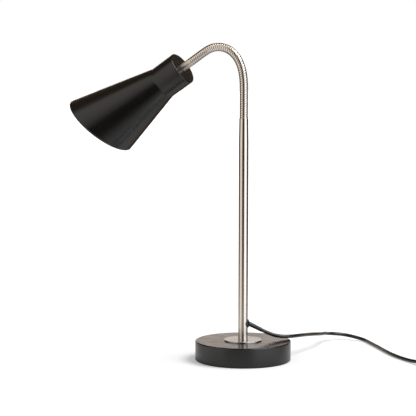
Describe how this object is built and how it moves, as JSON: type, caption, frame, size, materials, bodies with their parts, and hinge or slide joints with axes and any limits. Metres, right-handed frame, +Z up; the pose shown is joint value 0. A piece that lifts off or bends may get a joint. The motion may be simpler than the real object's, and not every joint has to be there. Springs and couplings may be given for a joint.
{
  "type": "gooseneck desk lamp",
  "caption": "Desk lamp with a round weighted base, a slim pole, a ribbed flexible neck and a conical shade with a slanted mouth; mains cord with inline switch.",
  "frame": {"origin": "centre of the base's underside, on the table", "axes": "+Z up; the neck bends over towards -X, so the shade is at -X; the cord leaves the pole towards +X"},
  "size_m": [0.6452, 0.2775, 0.4302],
  "materials": {
    "brushed_nickel": "fine brushed nickel plate, warm",
    "black_powder_coat": "satin black powder coat",
    "cast_iron": "rough grey casting",
    "foot_rubber": "matt foam rubber pad",
    "zinc_steel": "bright zinc plate",
    "holder_plastic": "black moulded thermoplastic",
    "ceramic": "white glazed ceramic",
    "contact_brass": "bright brass",
    "bulb_cap_nickel": "bright rolled aluminium screw shell",
    "black_glass": "glossy black glass",
    "opal_glass": "satin opal bulb",
    "tie_rubber": "matt black tie",
    "cord_pvc": "satin black PVC sheath",
    "switch_plastic": "satin black moulded plastic"
  },
  "bodies": {
    "stand": {"base_pad": "foot_rubber", "base_shell": "black_powder_coat", "base_weight": "cast_iron", "cord_coil": "cord_pvc", "cord_grommet": "cord_pvc", "cord_tie": "tie_rubber", "cord_to_coil": "cord_pvc", "cord_to_plug": "cord_pvc", "cord_to_switch": "cord_pvc", "foot_nut": "zinc_steel", "foot_stud": "zinc_steel", "foot_washer": "zinc_steel", "neck_link_01": "brushed_nickel", "plug_body": "switch_plastic", "plug_pins": "contact_brass", "pole": "brushed_nickel", "pole_lead": "cord_pvc", "rosette": "brushed_nickel", "switch_lower": "switch_plastic", "switch_screws": "zinc_steel", "switch_upper": "switch_plastic"},
    "link_02": {"neck_link_02": "brushed_nickel"},
    "link_03": {"neck_link_03": "brushed_nickel"},
    "link_04": {"neck_link_04": "brushed_nickel"},
    "link_05": {"neck_link_05": "brushed_nickel"},
    "link_06": {"neck_link_06": "brushed_nickel"},
    "link_07": {"neck_link_07": "brushed_nickel"},
    "link_08": {"neck_link_08": "brushed_nickel"},
    "link_09": {"neck_link_09": "brushed_nickel"},
    "link_10": {"neck_link_10": "brushed_nickel"},
    "link_11": {"neck_link_11": "brushed_nickel"},
    "link_12": {"neck_link_12": "brushed_nickel"},
    "link_13": {"neck_link_13": "brushed_nickel"},
    "link_14": {"neck_link_14": "brushed_nickel"},
    "link_15": {"neck_link_15": "brushed_nickel"},
    "head": {"bulb_cap": "bulb_cap_nickel", "bulb_globe": "opal_glass", "bulb_insulator": "black_glass", "bulb_tip": "contact_brass", "centre_contact": "contact_brass", "head_nipple": "zinc_steel", "head_nut": "zinc_steel", "holder_cap": "holder_plastic", "holder_insert": "ceramic", "holder_skirt": "holder_plastic", "neck_ferrule": "brushed_nickel", "shade": "black_powder_coat", "side_contact": "contact_brass", "terminal_screws": "zinc_steel"},
    "rocker": {"switch_rocker": "switch_plastic"}
  },
  "joints": [
    {"name": "neck_bend_01", "type": "hinge", "parent": "stand", "child": "link_02", "pos_m": [0, 0, 0.3397], "axis": [0, 1, 0], "range_deg": [-20, 20]},
    {"name": "neck_swing_02", "type": "hinge", "parent": "link_02", "child": "link_03", "pos_m": [0, 0, 0.3504], "axis": [1, 0, 0], "range_deg": [-20, 20]},
    {"name": "neck_bend_03", "type": "hinge", "parent": "link_03", "child": "link_04", "pos_m": [0, 0, 0.3611], "axis": [0, 1, 0], "range_deg": [-20, 20]},
    {"name": "neck_swing_04", "type": "hinge", "parent": "link_04", "child": "link_05", "pos_m": [0, 0, 0.3718], "axis": [0.9984, 0, 0.0558], "range_deg": [-20, 20]},
    {"name": "neck_bend_05", "type": "hinge", "parent": "link_05", "child": "link_06", "pos_m": [-0.0006, 0, 0.38248], "axis": [0, -1, 0], "range_deg": [-12.8, 1.4]},
    {"name": "neck_bend_06", "type": "hinge", "parent": "link_06", "child": "link_07", "pos_m": [-0.00238, 0, 0.39303], "axis": [0, -1, 0], "range_deg": [-19.2, 2.1]},
    {"name": "neck_bend_07", "type": "hinge", "parent": "link_07", "child": "link_08", "pos_m": [-0.0059, 0, 0.40314], "axis": [0, -1, 0], "range_deg": [-25.6, 2.8]},
    {"name": "neck_bend_08", "type": "hinge", "parent": "link_08", "child": "link_09", "pos_m": [-0.01157, 0, 0.41221], "axis": [0, -1, 0], "range_deg": [-32, 3.6]},
    {"name": "neck_bend_09", "type": "hinge", "parent": "link_09", "child": "link_10", "pos_m": [-0.01952, 0, 0.41937], "axis": [0, -1, 0], "range_deg": [-36, 4]},
    {"name": "neck_bend_10", "type": "hinge", "parent": "link_10", "child": "link_11", "pos_m": [-0.0293, 0, 0.42372], "axis": [0, -1, 0], "range_deg": [-36, 4]},
    {"name": "neck_bend_11", "type": "hinge", "parent": "link_11", "child": "link_12", "pos_m": [-0.03994, 0, 0.42484], "axis": [0, -1, 0], "range_deg": [-36, 4]},
    {"name": "neck_bend_12", "type": "hinge", "parent": "link_12", "child": "link_13", "pos_m": [-0.0504, 0, 0.42262], "axis": [0, -1, 0], "range_deg": [-36, 4]},
    {"name": "neck_bend_13", "type": "hinge", "parent": "link_13", "child": "link_14", "pos_m": [-0.05967, 0, 0.41727], "axis": [0, 1, 0], "range_deg": [-18, 18]},
    {"name": "neck_swing_14", "type": "hinge", "parent": "link_14", "child": "link_15", "pos_m": [-0.06863, 0, 0.41141], "axis": [-0.5476, 0, 0.8368], "range_deg": [-20, 20]},
    {"name": "neck_bend_15", "type": "hinge", "parent": "link_15", "child": "head", "pos_m": [-0.07758, 0, 0.40555], "axis": [0, 1, 0], "range_deg": [-18, 18]},
    {"name": "switch_rocker", "type": "hinge", "parent": "stand", "child": "rocker", "pos_m": [0.26975, 0.03007, 0.007], "axis": [0.6428, 0.766, 0], "range_deg": [0, 14]}
  ]
}
